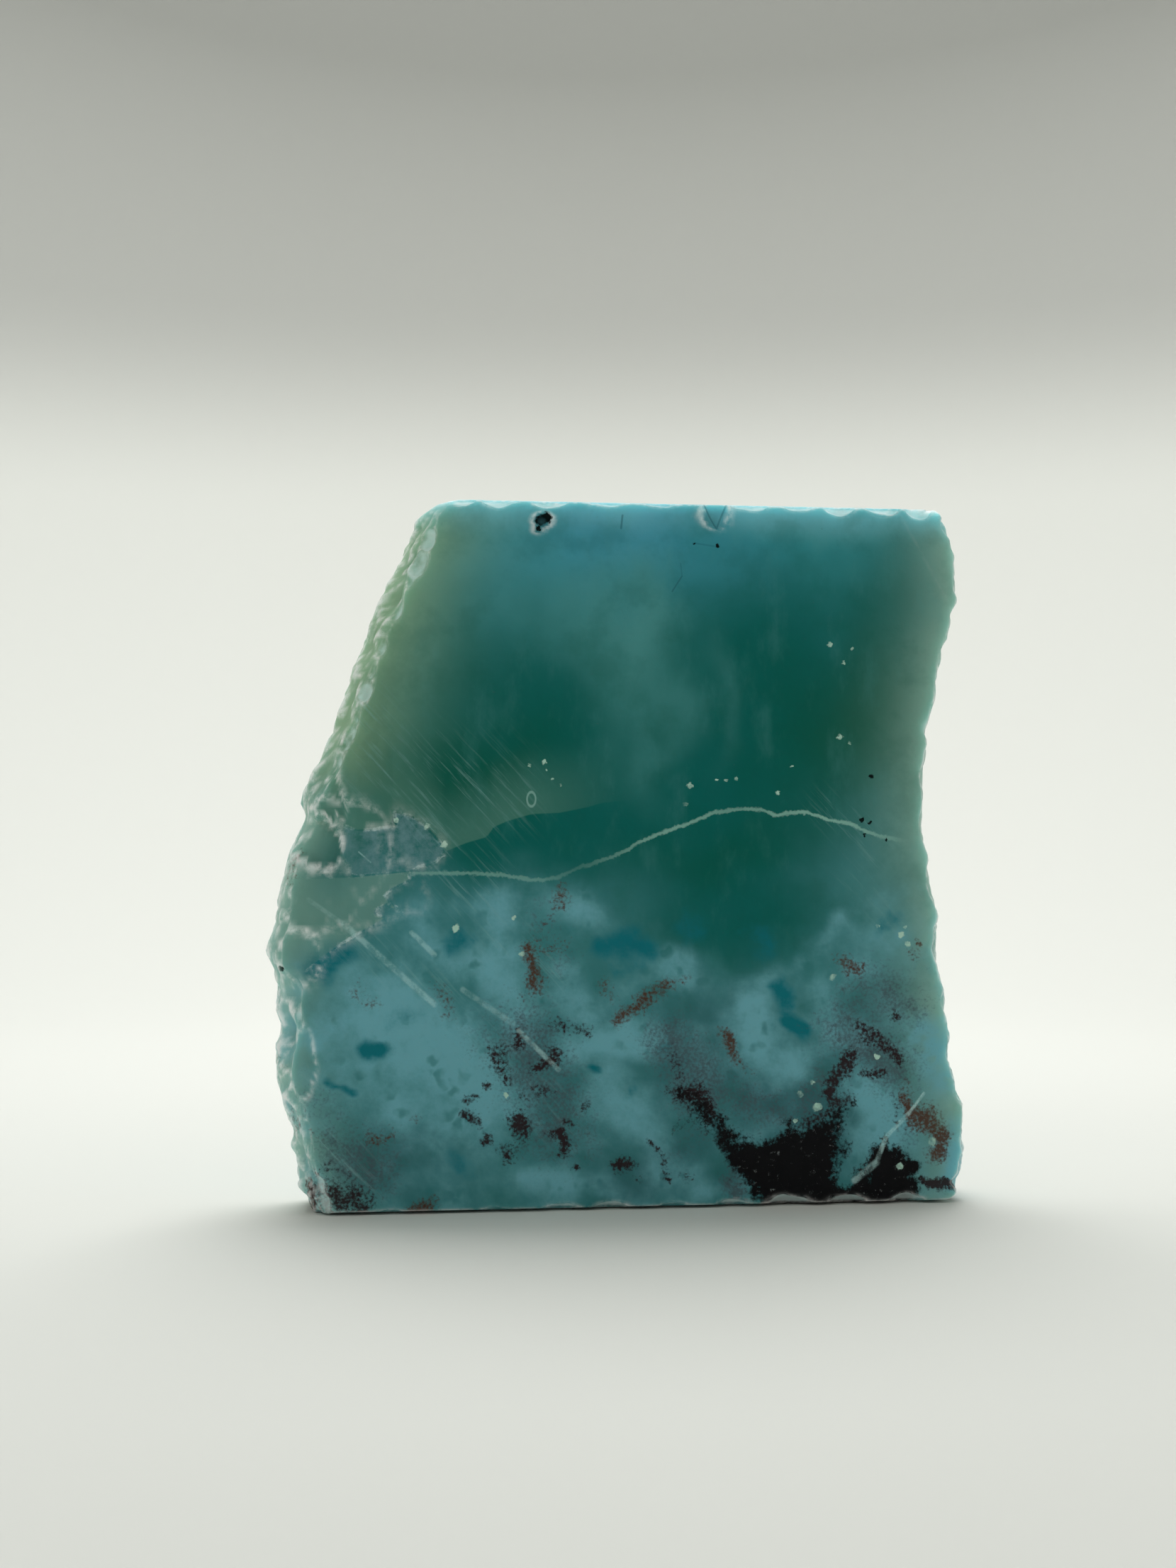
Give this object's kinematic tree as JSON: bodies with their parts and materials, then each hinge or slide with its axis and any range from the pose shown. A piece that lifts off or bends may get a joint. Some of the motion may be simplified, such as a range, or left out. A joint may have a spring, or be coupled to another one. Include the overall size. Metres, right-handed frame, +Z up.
{
  "type": "rough larimar slab",
  "caption": "Sawn slab of rough larimar with broken sides, standing on its flat sawn edge; a specimen for display, cutting or polishing.",
  "frame": {"origin": "on the ground, at the middle of the slab's box", "axes": "+Z up, +Y through the slab's thickness from its front sawn face to its back one, +X along its sawn lower edge"},
  "size_m": [0.0499, 0.008, 0.05],
  "materials": {
    "larimar": "satin"
  },
  "bodies": {
    "root": {"larimar_slab": "larimar"}
  },
  "joints": []
}
